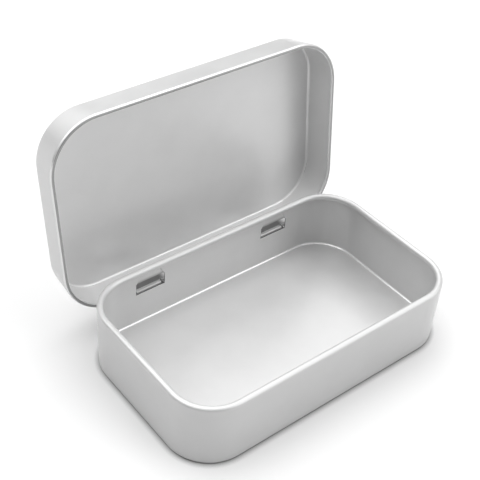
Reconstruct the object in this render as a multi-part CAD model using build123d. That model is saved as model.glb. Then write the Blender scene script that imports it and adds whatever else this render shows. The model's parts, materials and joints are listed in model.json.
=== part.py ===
from build123d import *
import math
import os

# A small hinged tin drawn from two sheets of tinplate: a tray and a lid.
# The origin is at the middle of the tray's underside. X runs along the tin, the hinge is at +Y, Z is up.
# Lengths are in millimetres and angles in degrees.

# The sheet that both halves are drawn from
sheet = 0.25

# Tray
tray_length = 90.4
tray_width = 54.5
tray_height = 20.3
tray_corner = 12.7
foot_radius = 0.85
tray_roll_radius = 1.0
tray_roll_angle = 308

# Lid, measured as it sits on the shut tin
lid_side_gap = 0.83
lid_depth = 10.3
lid_taper = 1.35
lid_shoulder = 1.0
lid_roll_radius = 0.62
lid_roll_angle = 290
lid_lift = 0.5
lid_opening_angle = 96.6

# The lid's two knuckles, each a tab of its skirt curled round a bar
hinge_spacing = 44.7
knuckle_width = 8.2
knuckle_wrap_angle = 285
knuckle_clearance = 0.06
knuckle_wall_gap = 0.3
tab_bend = 0.5
tab_overlap = 0.4
notch_margin = 0.25
notch_end_gap = 0.15

# The tray's two bars, each a strip of its back wall bent out behind it and rolled round
bar_radius = 0.44
bar_drop = 0.35
bar_end_play = 0.35
bar_bend = 0.5
bar_leg_spread = 0.35
bar_leg_drop = 0.7

# Windows in the tray's back wall, where the strips were cut out
window_side_room = 0.725
window_height = 3.9
window_sill_rise = 0.25

# Dimple pressed out of the back wall along the top of each window, narrowing upwards
dimple_end_room = 0.15
dimple_height = 2.3
dimple_depth = 0.3
dimple_slope_angle = 50
dimple_end_angle = 64

# How far a cutting tool reaches past what it cuts
overrun = 1.0

half_sheet = sheet / 2
tray_back = tray_width / 2

# The lid's rim stands off the tray's wall by the gap and the width of its own roll
lid_standoff = lid_side_gap + 2 * lid_roll_radius
lid_length = tray_length + 2 * lid_standoff
lid_width = tray_width + 2 * lid_standoff
lid_corner = tray_corner + lid_standoff
lid_back = lid_width / 2
lid_rim_height = tray_height + lid_lift + sheet - lid_depth

# Hinge axis, along X: behind the wall by the knuckle and its gap, and under the shut lid's rim
bar_setback = bar_radius + knuckle_clearance + sheet + knuckle_wall_gap
axis_back = tray_back + bar_setback
bar_height = lid_rim_height - bar_drop
hinge_places = (-hinge_spacing / 2, hinge_spacing / 2)

# Each window is wider than its knuckle and starts a little above the bar
window_width = knuckle_width + 2 * window_side_room
window_sill = bar_height + window_sill_rise


def run(length):
    """A straight run of the sheet."""
    return (length, 0)


def bend(radius, turn):
    """A bend of the sheet's middle line, to the left where turn is positive."""
    return (radius, turn)


def sheet_face(start, heading, moves, side):
    """One face of a sheet seen edge-on: side is 1 for its left face and -1 for its right face."""
    offset = side * half_sheet
    along = Vector(1, 0).rotate(Axis.Z, heading)
    point = Vector(*start) + along.rotate(Axis.Z, 90) * offset
    edges = []
    for size, turn in moves:
        if turn:
            radius = size - offset if turn > 0 else size + offset
            edge = JernArc(point, along, radius, turn)
        else:
            edge = PolarLine(point, size, direction=along)
        along = along.rotate(Axis.Z, turn)
        point = edge @ 1
        edges.append(edge)
    return edges


def sheet_section(start, heading, moves):
    """Edge-on section of a sheet whose middle line starts at a point and follows the moves."""
    left = sheet_face(start, heading, moves, 1)
    right = sheet_face(start, heading, moves, -1)
    first_end = Line(left[0] @ 0, right[0] @ 0)
    last_end = Line(left[-1] @ 1, right[-1] @ 1)
    return make_face(Curve() + left + right + [first_end, last_end])


def carried_round(section, length, width, corner):
    """Carry a section, x outwards from the outline and y up, round a rounded rectangle."""
    upright = Plane.XZ * section
    side = extrude(Pos(X=length / 2) * upright, amount=width / 2 - corner, both=True)
    end = extrude(Pos(X=width / 2) * upright, amount=length / 2 - corner, both=True)
    quarter = revolve(Pos(X=corner) * upright, Axis.Z, 90)
    reach_x = length / 2 - corner
    reach_y = width / 2 - corner
    pieces = [side, Rot(Z=180) * side, Rot(Z=90) * end, Rot(Z=270) * end]
    centres = ((reach_x, reach_y), (-reach_x, reach_y), (-reach_x, -reach_y), (reach_x, -reach_y))
    for step, (x, y) in enumerate(centres):
        pieces.append(Pos(X=x, Y=y) * Rot(Z=90 * step) * quarter)
    return pieces


def plate(length, width, corner, inset, height):
    """A flat sheet inside a rounded rectangle, its underside at a height."""
    outline = RectangleRounded(length - 2 * inset, width - 2 * inset, corner - inset)
    return extrude(Pos(Z=height) * outline, amount=sheet)


def tray_shell():
    """Floor, wall and inward rolled rim, as drawn from one sheet."""
    moves = [
        bend(foot_radius - half_sheet, 90),
        run(tray_height - foot_radius - tray_roll_radius),
        bend(tray_roll_radius - half_sheet, tray_roll_angle),
    ]
    section = sheet_section((-foot_radius, half_sheet), 0, moves)
    pieces = carried_round(section, tray_length, tray_width, tray_corner)
    floor = plate(tray_length, tray_width, tray_corner, foot_radius, 0)
    return floor.fuse(*pieces)


def hinge_window(x):
    """Tool that cuts one window right through the back wall."""
    middle = window_sill + window_height / 2
    return Pos(x, tray_back - half_sheet, middle) * Box(window_width, sheet + 2 * overrun, window_height)


def dimple_tool(x, wall_face):
    """Shallow pressing above one window, sloped at its ends and top, that grows outwards from one face of the wall."""
    window_top = window_sill + window_height
    reach = dimple_height + overrun
    widening = 2 * overrun / math.tan(math.radians(dimple_end_angle))
    foot_width = window_width - 2 * dimple_end_room + widening
    base = Plane(origin=(x, wall_face, window_top + dimple_height - reach / 2), x_dir=(-1, 0, 0), z_dir=(0, 1, 0))
    pressing = extrude(base * Trapezoid(foot_width, reach, dimple_end_angle), amount=dimple_depth, taper=dimple_slope_angle)
    below = Pos(x, wall_face, window_top - overrun) * Box(2 * foot_width, 2 * overrun, 2 * overrun)
    return pressing - below


def hinge_bar(x):
    """Strip of the back wall bent out behind its window and rolled into a round bar."""
    corner_reach = knuckle_width / 2 + bar_end_play
    leg_reach = window_width / 2 + bar_leg_spread
    leg_depth = bar_setback + half_sheet
    leg_length = math.hypot(leg_depth, bar_leg_drop)
    legs_plane = Plane(
        origin=(x, axis_back, bar_height),
        x_dir=(1, 0, 0),
        z_dir=Vector(0, -bar_leg_drop, leg_depth).normalized(),
    )
    points = [(-leg_reach, -leg_length), (-corner_reach, 0), (corner_reach, 0), (leg_reach, -leg_length)]
    path = legs_plane * FilletPolyline(*points, radius=bar_bend)
    return sweep(Plane(origin=path @ 0, z_dir=path % 0) * Circle(bar_radius), path=path)


def make_tray():
    """The bottom half with its windows, dimples and hinge bars."""
    tray = tray_shell()
    inner_face = tray_back - sheet
    room_depth = tray_width / 2
    for x in hinge_places:
        tray = tray + dimple_tool(x, tray_back) - dimple_tool(x, inner_face)
        tray = tray - hinge_window(x)
        inside = Pos(x, inner_face - room_depth / 2, tray_height / 2) * Box(tray_length, room_depth, tray_height)
        tray = tray + (hinge_bar(x) - inside)
    return tray


def lid_lean():
    """How far the lid's skirt leans in from upright, in degrees."""
    return math.degrees(math.atan2(lid_taper, lid_depth))


def lid_skirt_foot():
    """Where the skirt's middle line leaves the rolled rim: outwards from the rim, and up from it."""
    lean = math.radians(lid_lean())
    reach = lid_roll_radius - half_sheet
    return Vector(-lid_roll_radius + reach * math.cos(lean), lid_roll_radius + reach * math.sin(lean))


def lid_skirt_run():
    """Length of the skirt's straight part between the rolled rim and the shoulder."""
    lean = math.radians(lid_lean())
    rise = lid_depth - lid_shoulder - lid_roll_radius + (lid_shoulder - lid_roll_radius) * math.sin(lean)
    return rise / math.cos(lean)


def lid_shell():
    """Panel, leaning skirt and inward rolled rim, with the rim at height zero."""
    lean = lid_lean()
    up_skirt = Vector(0, 1).rotate(Axis.Z, lean)
    inwards = up_skirt.rotate(Axis.Z, 90)
    shoulder_foot = lid_skirt_foot() + up_skirt * lid_skirt_run()
    shoulder_middle = shoulder_foot + inwards * (lid_shoulder - half_sheet)
    panel_edge = shoulder_middle.X
    moves = [
        bend(lid_shoulder - half_sheet, lean - 90),
        run(lid_skirt_run()),
        bend(lid_roll_radius - half_sheet, -lid_roll_angle),
    ]
    section = sheet_section((panel_edge, lid_depth - half_sheet), 0, moves)
    pieces = carried_round(section, lid_length, lid_width, lid_corner)
    panel = plate(lid_length, lid_width, lid_corner, -panel_edge, lid_depth - sheet)
    return panel.fuse(*pieces)


def rim_notch(x):
    """Tool that clears the rolled rim and the foot of the skirt where one bar and its tab stand."""
    height = 2 * lid_roll_radius + notch_margin
    depth = 2 * (lid_roll_radius + lid_taper)
    width = knuckle_width + 2 * (bar_end_play + bar_radius + notch_end_gap)
    middle = Pos(x, lid_back, (height - overrun) / 2)
    return middle * Box(width, 2 * depth, height + overrun)


def hinge_knuckle(x):
    """Tab that runs on from the skirt, bends in and curls round the bar, open on its outer side."""
    lean = math.radians(lid_lean())
    down = Vector(0, -1).rotate(Axis.Z, lid_lean())
    inwards = Vector(-math.cos(lean), -math.sin(lean))
    bend_height = 2 * lid_roll_radius + notch_margin
    foot = lid_skirt_foot()
    bend_start = foot - down * ((bend_height - foot.Y) / math.cos(lean))
    knuckle_radius = bar_radius + knuckle_clearance + half_sheet
    bend_centre = bend_start + inwards * tab_bend
    bar_centre = Vector(axis_back - lid_back, bar_height - lid_rim_height)
    across = bar_centre - bend_centre
    sight = math.atan2(across.Y, across.X)
    swing = math.asin((knuckle_radius - tab_bend) / across.length)
    heading = math.degrees(sight + swing)
    down_heading = lid_lean() - 90
    moves = [
        run(tab_overlap),
        bend(tab_bend, heading - down_heading),
        run(across.length * math.cos(swing)),
        bend(knuckle_radius, -knuckle_wrap_angle),
    ]
    section = sheet_section(bend_start - down * tab_overlap, down_heading, moves)
    upright = Pos(x, lid_back) * (Plane.YZ * section)
    return extrude(upright, amount=knuckle_width / 2, both=True)


def make_lid():
    """The lid shut on the tray, then turned back about the hinge axis as it stands open."""
    lid = lid_shell()
    for x in hinge_places:
        lid = lid - rim_notch(x) + hinge_knuckle(x)
    shut = Pos(Z=lid_rim_height) * lid
    to_axis = Pos(Y=axis_back, Z=bar_height)
    return to_axis * Rot(X=-lid_opening_angle) * to_axis.inverse() * shut


os.makedirs("parts", exist_ok=True)
for node, solid in (("tray", make_tray()), ("lid", make_lid())):
    solid.label = node
    export_step(solid, f"parts/{node}.step")
    print(node, round(solid.volume, 2), "cubic mm,", len(solid.solids()), "solid")
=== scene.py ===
# %% [markdown]
# # A satin tinplate mint tin, standing open
#
# The tin is two drawn pieces of thin steel sheet: a tray, and a lid that hangs on it by a pinless hinge.
# Their shapes come ready-made from the CAD model, so this lesson is about everything that turns bare shapes
# into a picture: the finish of the metal, the white table, soft studio light and a camera in the right place.

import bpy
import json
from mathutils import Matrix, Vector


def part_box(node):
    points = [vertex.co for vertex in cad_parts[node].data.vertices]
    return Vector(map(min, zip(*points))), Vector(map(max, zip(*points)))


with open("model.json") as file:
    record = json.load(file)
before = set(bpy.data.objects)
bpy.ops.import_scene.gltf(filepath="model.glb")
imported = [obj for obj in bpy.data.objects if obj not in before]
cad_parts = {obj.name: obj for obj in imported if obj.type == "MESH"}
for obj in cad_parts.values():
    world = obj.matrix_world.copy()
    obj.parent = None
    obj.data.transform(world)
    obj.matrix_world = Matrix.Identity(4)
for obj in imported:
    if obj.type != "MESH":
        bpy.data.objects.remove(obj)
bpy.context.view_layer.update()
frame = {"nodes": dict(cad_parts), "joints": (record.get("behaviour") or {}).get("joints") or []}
print("pieces:", sorted(frame["nodes"]))

# %% Tools used below
import json
import math

import bpy
import numpy as np
from mathutils import Matrix, Vector

scene = bpy.context.scene
print("Blender", bpy.app.version_string, "and numpy", np.__version__)

# %% [markdown]
# ## How big the tin is
#
# Nothing below repeats a size that the model already holds. The tray's box and the hinge are read once, and the
# camera's limits, the table and the places where the finish changes follow from them.

# %% Sizes read from the model
millimetre = 0.001
tray_low, tray_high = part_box("tray")
tin_length = tray_high.x - tray_low.x
wall_back = -tray_low.y
hinge = frame["joints"][0]
hinge_middle = Vector(hinge["pos_m"])
lid_opened = math.radians(hinge["range_deg"][1])
print("the tray is", round(tin_length / millimetre, 1), "mm long")
print("the lid stands open by", round(math.degrees(lid_opened), 1), "degrees")

# %% [markdown]
# ## The camera
#
# The photograph looks down on the tin's near left corner with a long lens, which keeps the far edges almost as
# long as the near ones. A camera like that is easiest to describe as a photographer would: the point it aims at,
# how far round and how high it stands, how far away it is, and how much it is tipped to one side.
# It is turned with a rotation matrix made of its own right, up and backward directions, because three angles
# given one after another are harder to read.

# %% Camera placing
aim_point = Vector((-1.04, 14.87, 27.13)) * millimetre
round_to_left = math.radians(40.85)
height_angle = math.radians(39.45)
tip_angle = math.radians(4.44)
camera_distance = 266.3 * millimetre
focal_length = 72.64
film_width = 36.0
clip_factor = 100
print("camera", round(camera_distance / tin_length, 1), "tin lengths away")

# %% Directions of the camera
backward = Vector((
    -math.sin(round_to_left) * math.cos(height_angle),
    -math.cos(round_to_left) * math.cos(height_angle),
    math.sin(height_angle),
))
level_right = Vector((0, 0, 1)).cross(backward).normalized()
level_up = backward.cross(level_right)
camera_right = level_right * math.cos(tip_angle) + level_up * math.sin(tip_angle)
camera_up = level_up * math.cos(tip_angle) - level_right * math.sin(tip_angle)

# %% Make the camera
camera_data = bpy.data.cameras.new("studio_camera")
camera_data.lens = focal_length
camera_data.sensor_width = film_width
camera_data.sensor_fit = "HORIZONTAL"
camera_data.clip_start = camera_distance / clip_factor
camera_data.clip_end = camera_distance * clip_factor
camera = bpy.data.objects.new("studio_camera", camera_data)
turned = Matrix((camera_right, camera_up, backward)).transposed().to_4x4()
camera.matrix_world = Matrix.Translation(aim_point + backward * camera_distance) @ turned
scene.collection.objects.link(camera)
scene.camera = camera
print("camera at", [round(c / millimetre, 1) for c in camera.matrix_world.translation], "mm")

# %% [markdown]
# ## Helpers for shader nodes
#
# Every material below is a small sheet of nodes, and a few helpers keep it readable. One starts an empty sheet
# and one adds a node to it. The others each stand for one kind of sum: plain arithmetic, a smooth step between
# two levels, a change of level where a mask says so, and how far a vector points along a direction.

# %% Helpers: a new material and a new node
def add_node(tree, kind, place, **settings):
    """Add one shader node of a kind at a place on the node sheet, with its settings, and return it."""
    node = tree.nodes.new(kind)
    node.location = place
    for name, value in settings.items():
        setattr(node, name, value)
    return node


def empty_material(name, output_place):
    """A material with nothing in its node sheet but the output node."""
    material = bpy.data.materials.new(name)
    material.use_nodes = True
    material.node_tree.nodes.clear()
    output = add_node(material.node_tree, "ShaderNodeOutputMaterial", output_place)
    return material, material.node_tree, output

# %% Helpers: sums with numbers and sockets
def feed(tree, socket, value):
    """Give a socket a number, or join it to another node's output."""
    if isinstance(value, (int, float)):
        socket.default_value = value
    else:
        tree.links.new(value, socket)


def work_out(tree, operation, place, *values):
    """Result of a sum such as ADD or MULTIPLY, whose values are numbers or other nodes' outputs."""
    node = add_node(tree, "ShaderNodeMath", place, operation=operation)
    for socket, value in zip(node.inputs, values):
        feed(tree, socket, value)
    return node.outputs["Value"]


def blend(tree, mask, place, plain, masked):
    """Plain where the mask is 0 and masked where it is 1; either may be a number or a node's output."""
    node = add_node(tree, "ShaderNodeMix", place, data_type="FLOAT")
    tree.links.new(mask, node.inputs["Factor"])
    feed(tree, node.inputs["A"], plain)
    feed(tree, node.inputs["B"], masked)
    return node.outputs["Result"]

# %% Helpers: steps and directions
def smooth_step(tree, value, place, start, end, low=0.0, high=1.0):
    """A value moved from the range start to end on to the range low to high, with soft ends."""
    node = add_node(tree, "ShaderNodeMapRange", place, interpolation_type="SMOOTHSTEP")
    for socket, limit in (("From Min", start), ("From Max", end), ("To Min", low), ("To Max", high)):
        node.inputs[socket].default_value = limit
    tree.links.new(value, node.inputs["Value"])
    return node.outputs["Result"]


def share_along(tree, vector, place, direction):
    """How far a vector points along a fixed direction: their dot product."""
    node = add_node(tree, "ShaderNodeVectorMath", place, operation="DOT_PRODUCT")
    node.inputs[1].default_value = direction
    tree.links.new(vector, node.inputs[0])
    return node.outputs["Value"]

# %% [markdown]
# ## Satin tinplate
#
# Tinplate is steel with a very thin coat of tin. It has almost no colour of its own, and its satin skin shows
# part plain grey and part blurred reflection. Six things make it look real:
#
# - soft clouds a few millimetres wide, where the tin flowed, shift the tone and the gloss a little;
# - a long fine grain, left by rolling the sheet, is a bump that spreads the reflections;
# - the inner fold round each flat is burnished by the press tool, so it is glossier, and a painted highlight makes
#   it paler;
# - the insides have tones of their own, paler in the lid than outside, and walls differ from flats; these
#   tones are painted light and shade, set for how the light falls inside each piece;
# - the inner side of the lid's rolled rim and the lid's knuckles are painted darker, as shade;
# - the hinge's pockets are rougher, and painted dark as shade.
#
# All of them read the piece's own Object coordinates and normals, so they stay with the lid when it turns.

# %% Metal and its coat
sheet = 0.25 * millimetre
metal_share = 0.4
lacquer_coat = 0.6
lacquer_blur = 0.18
outside_tone = 0.7
# wall_shading_tones and flat_shading_tones are painted light and shade: the same tinplate made paler or darker on
# inner walls and flats, as the light falls there
wall_shading_tones = {"tray": 0.67, "lid": 0.875}
flat_shading_tones = {"tray": 0.73, "lid": 0.84}
wall_to_flat = (0.3, 0.9)
print("tone outside", outside_tone, "and on the inside walls", wall_shading_tones)

# %% Clouds and grain
cloud_size = 9 * millimetre
cloud_detail = 3
tone_shift = 0.012
middle_blur = 0.46
blur_shift = 0.03
grain_width = 0.22 * millimetre
grain_length_share = 9
grain_depth = 0.0016 * millimetre
grain_detail = 2
noise_range = (0.3, 0.7)
print("grain", round(grain_width / millimetre, 2), "mm wide, clouds", round(cloud_size / millimetre), "mm")

# %% Helper: noise
def soft_noise(tree, coordinates, place, features_per_metre, stretch, detail, low, high):
    """Cloudy pattern from low to high: noise read at the coordinates times a stretch along each axis."""
    x, y = place
    mapping = add_node(tree, "ShaderNodeMapping", place)
    mapping.inputs["Scale"].default_value = stretch
    noise = add_node(tree, "ShaderNodeTexNoise", (x + 200, y))
    noise.inputs["Scale"].default_value = features_per_metre
    noise.inputs["Detail"].default_value = detail
    tree.links.new(coordinates, mapping.inputs["Vector"])
    tree.links.new(mapping.outputs["Vector"], noise.inputs["Vector"])
    return smooth_step(tree, noise.outputs["Fac"], (x + 400, y), *noise_range, low, high)

# %% [markdown]
# ### Where the folds and the insides are
#
# A flat floor or panel faces the way its piece opens, and a wall stands square to that. Only a bend faces
# somewhere in between, so the share of its normal along the opening direction finds it, and the depth in the
# piece tells the fold at the flat from the rolled rim. An inner face is one that faces a point out in front of
# the opening: turn to any wall from inside a box, and it looks back at you. Seen from the middle of the opening
# itself, the crest and the inner side of a rolled rim can be told from its outer side in the same way.

# %% Opening direction and depth of each piece
lid_opening = Vector((0, -math.sin(lid_opened), -math.cos(lid_opened)))
opening_directions = {"tray": Vector((0, 0, 1)), "lid": lid_opening}


def depth_range(piece, opening):
    """Lowest and highest place of a piece along its opening direction."""
    points = np.empty(len(piece.data.vertices) * 3)
    piece.data.vertices.foreach_get("co", points)
    along = points.reshape(-1, 3) @ np.array(opening)
    return float(along.min()), float(along.max())


for name, opening in opening_directions.items():
    shallow, deep = depth_range(frame["nodes"][name], opening)
    print(name, "is", round((deep - shallow) / millimetre, 1), "mm deep")

# %% Fold mask
fold_share = 0.13
fold_fade = 1.1
wall_to_fold = (0.14, 0.3)
flat_to_fold = (0.995, 0.95)
# fold_highlight_tone is a painted highlight along each inner fold; burnished_blur is the gloss of the burnish
fold_highlight_tone = 0.99
burnished_blur = 0.25


def fold_mask(tree, place, facing, along, shallow, deep):
    """1 on the inner fold between a piece's flat and its wall, 0 elsewhere."""
    x, y = place
    fold_end = shallow + fold_share * (deep - shallow)
    turned_up = smooth_step(tree, facing, (x + 200, y + 100), *wall_to_fold)
    not_flat = smooth_step(tree, facing, (x + 200, y - 100), *flat_to_fold)
    by_flat = smooth_step(tree, along, (x + 200, y - 300), fold_fade * fold_end, fold_end)
    bent = work_out(tree, "MULTIPLY", (x + 400, y), turned_up, not_flat)
    return work_out(tree, "MULTIPLY", (x + 600, y), bent, by_flat)

# %% Facing a point
inside_edge = (-0.01, 0.01)


def faces_point(tree, coordinates, place, point, start, end):
    """0 to 1 as the cosine between a face's normal and the way to a point goes from start to end."""
    x, y = place
    sight = add_node(tree, "ShaderNodeVectorMath", place, operation="SUBTRACT")
    sight.inputs[0].default_value = point
    tree.links.new(coordinates.outputs["Object"], sight.inputs[1])
    unit = add_node(tree, "ShaderNodeVectorMath", (x + 200, y), operation="NORMALIZE")
    tree.links.new(sight.outputs["Vector"], unit.inputs[0])
    turned = add_node(tree, "ShaderNodeVectorMath", (x + 400, y), operation="DOT_PRODUCT")
    tree.links.new(coordinates.outputs["Normal"], turned.inputs[0])
    tree.links.new(unit.outputs["Vector"], turned.inputs[1])
    return smooth_step(tree, turned.outputs["Value"], (x + 600, y), start, end)

# %% Painted shade on the inner side of the rolled rim
rim_side = (-0.75, -0.4)
rim_height = (5 * sheet, 4.6 * sheet)
# rim_shade_tone is painted shade on the crest and inner side of the lid's rolled rim
rim_shade_tone = 0.4


def rim_shade_mask(tree, coordinates, place, along, opening_middle, deep):
    """Where shade is painted: 1 on the crest and inner side of the rolled rim, 0 on its outer side and elsewhere.
    """
    x, y = place
    inward = faces_point(tree, coordinates, place, opening_middle, *rim_side)
    rolled = smooth_step(tree, along, (x + 600, y - 200), deep - rim_height[0], deep - rim_height[1])
    return work_out(tree, "MULTIPLY", (x + 800, y), inward, rolled)

# %% [markdown]
# ### Where shade is painted in the hinge's pockets
#
# The pockets lie round the hinge's axis, at two places along it, and are painted dark as shade and made rougher.
# The distance from the axis finds them, and tells the lid's knuckles, which are curled close round it, from what
# lies behind them. A pocket is only seen from inside the tin, so the lid is painted dark on its inner faces alone,
# and both faces of the tray's wall keep their plain tone.

# %% Sizes of the pockets
hinge_reach = 22.35 * millimetre
pocket_half_widths = {
    "tray": (5.8 * millimetre, 5.0 * millimetre),
    "lid": (8.5 * millimetre, 5.5 * millimetre),
}
pocket_depth = (5.4 * millimetre, 3.6 * millimetre)
# pocket_shade_tone is painted shade for the deep hollows round the hinge; pocket_blur makes them rougher
pocket_shade_tone = 0.25
pocket_blur = 0.75
knuckle_edge = (0.79 * millimetre, 0.95 * millimetre)
# knuckle_shade_tone paints the lid's knuckles darker, as shade in the hinge's windows; knuckle_blur makes them
# glossier
knuckle_shade_tone = 0.4
knuckle_blur = 0.3
wall_edge = (wall_back - 0.98 * sheet, wall_back - 0.9 * sheet)
rear_face = (0.9, 0.7)
print("pockets", round(hinge_reach / millimetre, 2), "mm to each side of the middle")

# %% Distance from the hinge's axis
def hinge_distance(tree, parts, place):
    """Distance from the hinge's axis: the root of the squares of how far behind and how far above it."""
    x, y = place
    behind = work_out(tree, "SUBTRACT", (x, y), parts.outputs["Y"], hinge_middle.y)
    above = work_out(tree, "SUBTRACT", (x, y - 200), parts.outputs["Z"], hinge_middle.z)
    squares = work_out(tree, "MULTIPLY", (x + 200, y), behind, behind)
    both = work_out(tree, "MULTIPLY_ADD", (x + 400, y), above, above, squares)
    return work_out(tree, "SQRT", (x + 600, y), both)

# %% Masks for the painted shade in the pockets and on the knuckles
def pocket_shade_masks(tree, coordinates, place, name, inside):
    """Two masks for painted shade: 1 in the pockets round the hinge and 0 elsewhere, and 1 on the lid's knuckles
    and 0 elsewhere.
    """
    x, y = place
    parts = add_node(tree, "ShaderNodeSeparateXYZ", place)
    tree.links.new(coordinates.outputs["Object"], parts.inputs["Vector"])
    normal = add_node(tree, "ShaderNodeSeparateXYZ", (x, y - 400))
    tree.links.new(coordinates.outputs["Normal"], normal.inputs["Vector"])

    sideways = work_out(tree, "ABSOLUTE", (x + 200, y + 200), parts.outputs["X"])
    from_hinge = work_out(tree, "SUBTRACT", (x + 400, y + 200), sideways, hinge_reach)
    either_side = work_out(tree, "ABSOLUTE", (x + 600, y + 200), from_hinge)
    at_hinge = smooth_step(tree, either_side, (x + 800, y + 200), *pocket_half_widths[name])
    distance = hinge_distance(tree, parts, (x + 200, y))
    near_axis = smooth_step(tree, distance, (x + 1000, y), *pocket_depth)
    near = work_out(tree, "MULTIPLY", (x + 1200, y), at_hinge, near_axis)

    beyond_knuckle = smooth_step(tree, distance, (x + 1000, y - 200), *knuckle_edge)
    if name == "lid":
        hidden = work_out(tree, "MULTIPLY", (x + 1200, y + 200), inside, beyond_knuckle)
    else:
        not_rear = smooth_step(tree, normal.outputs["Y"], (x + 200, y - 400), *rear_face)
        behind_wall = smooth_step(tree, parts.outputs["Y"], (x + 1000, y - 400), *wall_edge)
        hidden = work_out(tree, "MULTIPLY", (x + 1200, y + 200), not_rear, behind_wall)
    pockets = work_out(tree, "MULTIPLY", (x + 1400, y), near, hidden)
    knuckles = work_out(tree, "SUBTRACT", (x + 1400, y - 200), 1.0, beyond_knuckle)
    return pockets, knuckles

# %% [markdown]
# ### How the finish is put together
#
# A finish like this is layered. First comes the plain sheet with its clouds and the painted light and shade of its
# insides, then the burnish and the painted highlight on the folds, then the painted shade in the hinge and on the
# lid's rim. Each layer takes the tone and the blur of the layer below, and changes them only where its own mask
# says so. The last two values go into one Principled shader, and the grain reaches it as a bump.

# %% Plain sheet
def plain_sheet(tree, coordinates, name, facing, inside):
    """Tone and blur of the sheet: outside, or the painted light and shade of an inside wall or inside flat, with
    soft clouds in both.
    """
    inside_shading_tone = smooth_step(tree, facing, (-600, 1100), *wall_to_flat, wall_shading_tones[name], flat_shading_tones[name])
    level = blend(tree, inside, (-400, 900), outside_tone, inside_shading_tone)
    per_metre = 1 / cloud_size
    clouds = soft_noise(tree, coordinates.outputs["Object"], (-900, 600), per_metre, (1, 1, 1), cloud_detail, -1, 1)
    tone = work_out(tree, "MULTIPLY_ADD", (-200, 600), clouds, tone_shift, level)
    blur = work_out(tree, "MULTIPLY_ADD", (-200, 400), clouds, blur_shift, middle_blur)
    return tone, blur

# %% Grain
def rolling_grain(tree, coordinates, place):
    """Normals roughened by a fine noise that is drawn out along X, the way the sheet was rolled."""
    x, y = place
    per_metre, drawn_out = 1 / grain_width, (1 / grain_length_share, 1, 1)
    grain = soft_noise(tree, coordinates.outputs["Object"], place, per_metre, drawn_out, grain_detail, 0, 1)
    bump = add_node(tree, "ShaderNodeBump", (x + 1700, y + 400))
    bump.inputs["Distance"].default_value = grain_depth
    tree.links.new(grain, bump.inputs["Height"])
    return bump.outputs["Normal"]

# %% Satin tinplate
def satin_tinplate(name, piece, opening):
    """Rolled tinplate: clouded tone and gloss, fine grain, painted light and shade on the insides, burnished folds
    with a painted highlight, and painted shade in the hinge pockets, on the knuckles and inside the lid's rim.
    """
    material, tree, output = empty_material(name + "_tinplate", (1500, 0))
    metal = add_node(tree, "ShaderNodeBsdfPrincipled", (1200, 0))
    metal.inputs["Metallic"].default_value = metal_share
    metal.inputs["Coat Weight"].default_value = lacquer_coat
    metal.inputs["Coat Roughness"].default_value = lacquer_blur
    tree.links.new(metal.outputs["BSDF"], output.inputs["Surface"])

    shallow, deep = depth_range(piece, opening)
    middle = sum(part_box(name), Vector()) / 2
    in_front = middle + opening * tin_length
    opening_middle = middle + opening * (deep - middle.dot(opening))
    coordinates = add_node(tree, "ShaderNodeTexCoord", (-1600, 0))
    facing = share_along(tree, coordinates.outputs["Normal"], (-1200, 300), opening)
    along = share_along(tree, coordinates.outputs["Object"], (-1200, 100), opening)
    inside = faces_point(tree, coordinates, (-1200, 900), in_front, *inside_edge)

    tone, blur = plain_sheet(tree, coordinates, name, facing, inside)
    folds = fold_mask(tree, (-900, 100), facing, along, shallow, deep)
    # Painted highlight along the inner folds, which the burnish also makes glossier
    tone = blend(tree, folds, (200, 600), tone, fold_highlight_tone)
    blur = blend(tree, folds, (200, 400), blur, burnished_blur)
    pockets, knuckles = pocket_shade_masks(tree, coordinates, (-1200, -500), name, inside)
    # Painted shade in the hinge's pockets, which are also rougher
    tone = blend(tree, pockets, (400, 600), tone, outside_tone * pocket_shade_tone)
    blur = blend(tree, pockets, (400, 400), blur, pocket_blur)
    if name == "lid":
        # Painted shade on the crest and inner side of the lid's rolled rim
        rim = rim_shade_mask(tree, coordinates, (-1200, -1300), along, opening_middle, deep)
        tone = blend(tree, rim, (600, 600), tone, rim_shade_tone)
        # Painted shade on the knuckles, which are also glossier
        tone = blend(tree, knuckles, (800, 600), tone, knuckle_shade_tone)
        blur = blend(tree, knuckles, (800, 400), blur, knuckle_blur)

    colour = add_node(tree, "ShaderNodeCombineColor", (1000, 600))
    for channel in ("Red", "Green", "Blue"):
        tree.links.new(tone, colour.inputs[channel])
    tree.links.new(colour.outputs["Color"], metal.inputs["Base Color"])
    tree.links.new(blur, metal.inputs["Roughness"])
    tree.links.new(rolling_grain(tree, coordinates, (-900, -1000)), metal.inputs["Normal"])
    return material

# %% Dress the two pieces
for name, opening in opening_directions.items():
    piece = frame["nodes"][name]
    tinplate = satin_tinplate(name, piece, opening)
    piece.data.materials.clear()
    piece.data.materials.append(tinplate)
    print(name, "has", len(piece.data.polygons), "faces in", tinplate.name)

# %% [markdown]
# ## The white table
#
# The photograph's background is plain white, and the tin's soft shadow is the only thing on it. A wide flat
# sheet under the tin catches that shadow. Its paper is nearly white, with a faint glow of its own, to the camera
# and in reflections. As a source of bounced light it is greyer, because a studio puts the white paper only where
# the picture shows it, and the tin's outer walls would else be lit from below as strongly as from above.
#
# Right under the foot of a real tin the shadow is a thin, almost black line. An Ambient Occlusion node finds
# the paper that lies within a millimetre or two of the steel, and darkens it there.

# %% Table top
table_reach = 30 * tin_length
table_drop = 0.1 * millimetre
table_lines = 9


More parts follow.
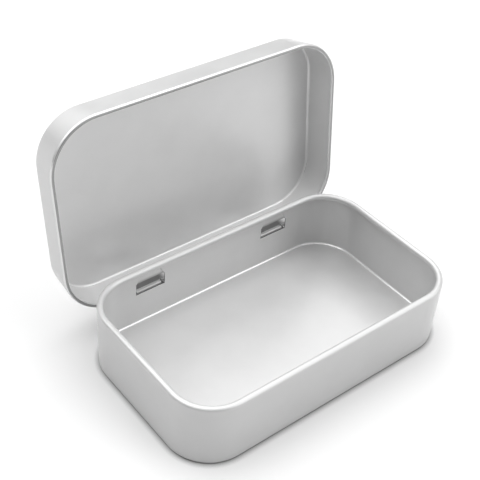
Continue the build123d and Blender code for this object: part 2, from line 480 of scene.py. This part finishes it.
def flat_sheet(name, reach, height, lines):
    """Square grid of points at one height: x and y both run from -reach to reach, in even steps."""
    line = np.linspace(-reach, reach, lines)
    x, y = np.meshgrid(line, line)
    points = np.stack([x, y, np.full_like(x, height)], axis=-1).reshape(-1, 3)
    corner = (np.arange(lines - 1)[:, None] * lines + np.arange(lines - 1)).ravel()
    faces = np.stack([corner, corner + 1, corner + lines + 1, corner + lines], axis=-1)
    mesh = bpy.data.meshes.new(name)
    mesh.from_pydata(points.tolist(), [], faces.tolist())
    paper_sheet = bpy.data.objects.new(name, mesh)
    scene.collection.objects.link(paper_sheet)
    return paper_sheet


table = flat_sheet("table", table_reach, tray_low.z - table_drop, table_lines)
print("table reaches", round(table_reach, 2), "m each way")

# %% Values of the paper
paper_white = 0.86
paper_bounce = 0.3
paper_glow = 0.03
contact_reach = 1.6 * millimetre
contact_shade = 0.9
contact_samples = 16
print("paper", paper_white, "to the camera and", paper_bounce, "as bounced light")

# %% Where the paper is seen
def seen_or_mirrored(tree, place):
    """1 for rays from the camera and for reflected or refracted rays, 0 for rays that gather bounced light."""
    x, y = place
    rays = add_node(tree, "ShaderNodeLightPath", place)
    mirrored, clear = rays.outputs["Is Glossy Ray"], rays.outputs["Is Transmission Ray"]
    either = work_out(tree, "MAXIMUM", (x + 200, y - 100), mirrored, clear)
    return work_out(tree, "MAXIMUM", (x + 400, y), rays.outputs["Is Camera Ray"], either)

# %% Contact shade
def contact_darkening(tree, place):
    """1 in the open, and down to the rest that contact_shade leaves where steel stands close over the paper."""
    x, y = place
    crevice = add_node(tree, "ShaderNodeAmbientOcclusion", place, samples=contact_samples)
    crevice.inputs["Distance"].default_value = contact_reach
    open_share = crevice.outputs["AO"]
    return work_out(tree, "MULTIPLY_ADD", (x + 200, y), open_share, contact_shade, 1 - contact_shade)

# %% White paper
def white_paper(name):
    """Matt paper: white and faintly glowing when seen or mirrored, greyer as a source of bounced light."""
    material, tree, output = empty_material(name, (700, 0))
    paper = add_node(tree, "ShaderNodeBsdfDiffuse", (250, 100))
    glow = add_node(tree, "ShaderNodeEmission", (250, -100))
    both = add_node(tree, "ShaderNodeAddShader", (500, 0))
    seen = seen_or_mirrored(tree, (-650, 0))
    bounce, extra = paper_bounce, paper_white - paper_bounce
    whiteness = work_out(tree, "MULTIPLY_ADD", (0, 100), seen, extra, bounce)
    shaded = contact_darkening(tree, (-450, 300))
    tree.links.new(work_out(tree, "MULTIPLY", (150, 250), whiteness, shaded), paper.inputs["Color"])
    tree.links.new(work_out(tree, "MULTIPLY", (0, -100), seen, paper_glow), glow.inputs["Strength"])
    tree.links.new(paper.outputs["BSDF"], both.inputs[0])
    tree.links.new(glow.outputs["Emission"], both.inputs[1])
    tree.links.new(both.outputs["Shader"], output.inputs["Surface"])
    return material


table.data.materials.append(white_paper("white_paper"))
print("table covered with", table.data.materials[0].name)

# %% [markdown]
# ## Studio light
#
# A satin tin is photographed inside a white tent, with lamps behind the cloth, so that it always has something
# pale and soft-edged to reflect. The world is that tent. Each lamp makes one glowing patch on it: brightest in
# the lamp's own direction, and fading with the cosine of the angle away from it, raised to a power that says
# how tight the patch is. The patches simply add up.

# %% Patches of the tent: direction, tightness and brightness
def patch_direction(round_angle, height):
    """Unit direction towards a patch: degrees round from +X towards +Y, and degrees above the table."""
    turn, rise = math.radians(round_angle), math.radians(height)
    return Vector((math.cos(turn) * math.cos(rise), math.sin(turn) * math.cos(rise), math.sin(rise)))


patches = {
    "back right": (patch_direction(45, 60), 10, 2.4),
    "back left": (patch_direction(135, 60), 10, 1.85),
    "left": (patch_direction(190, 60), 10, 1.45),
    "front right": (patch_direction(315, 60), 10, 0.7),
    "low front right": (patch_direction(315, 25), 6, 1.4),
    "small front right": (patch_direction(308, 35), 30, 1.6),
    "low back": (patch_direction(90, 25), 6, 1.15),
    "overhead": (patch_direction(0, 90), 8, 0.2),
}
print(len(patches), "patches of light")

# %% The tent
world = bpy.data.worlds.new("tent")
scene.world = world
world.use_nodes = True
tent_tree = world.node_tree
tent_cloth = tent_tree.nodes["Background"]
tent_cloth.inputs["Color"].default_value = (1, 1, 1, 1)
looking = add_node(tent_tree, "ShaderNodeTexCoord", (-1300, 0))
glow_so_far = 0.0
for row, (name, (towards, tightness, brightness)) in enumerate(patches.items()):
    height = 900 - 250 * row
    lined_up = share_along(tent_tree, looking.outputs["Generated"], (-1050, height), towards)
    facing_patch = work_out(tent_tree, "MAXIMUM", (-850, height), lined_up, 0.0)
    patch = work_out(tent_tree, "POWER", (-650, height), facing_patch, float(tightness))
    glow_so_far = work_out(tent_tree, "MULTIPLY_ADD", (-450, height), patch, brightness, glow_so_far)
    print(name, "patch of strength", brightness)
tent_tree.links.new(glow_so_far, tent_cloth.inputs["Strength"])

# %% [markdown]
# ## Picture settings
#
# The Standard view shows each tone as it is written, with no film curve laid over it.

# %% View
scene.view_settings.view_transform = "Standard"
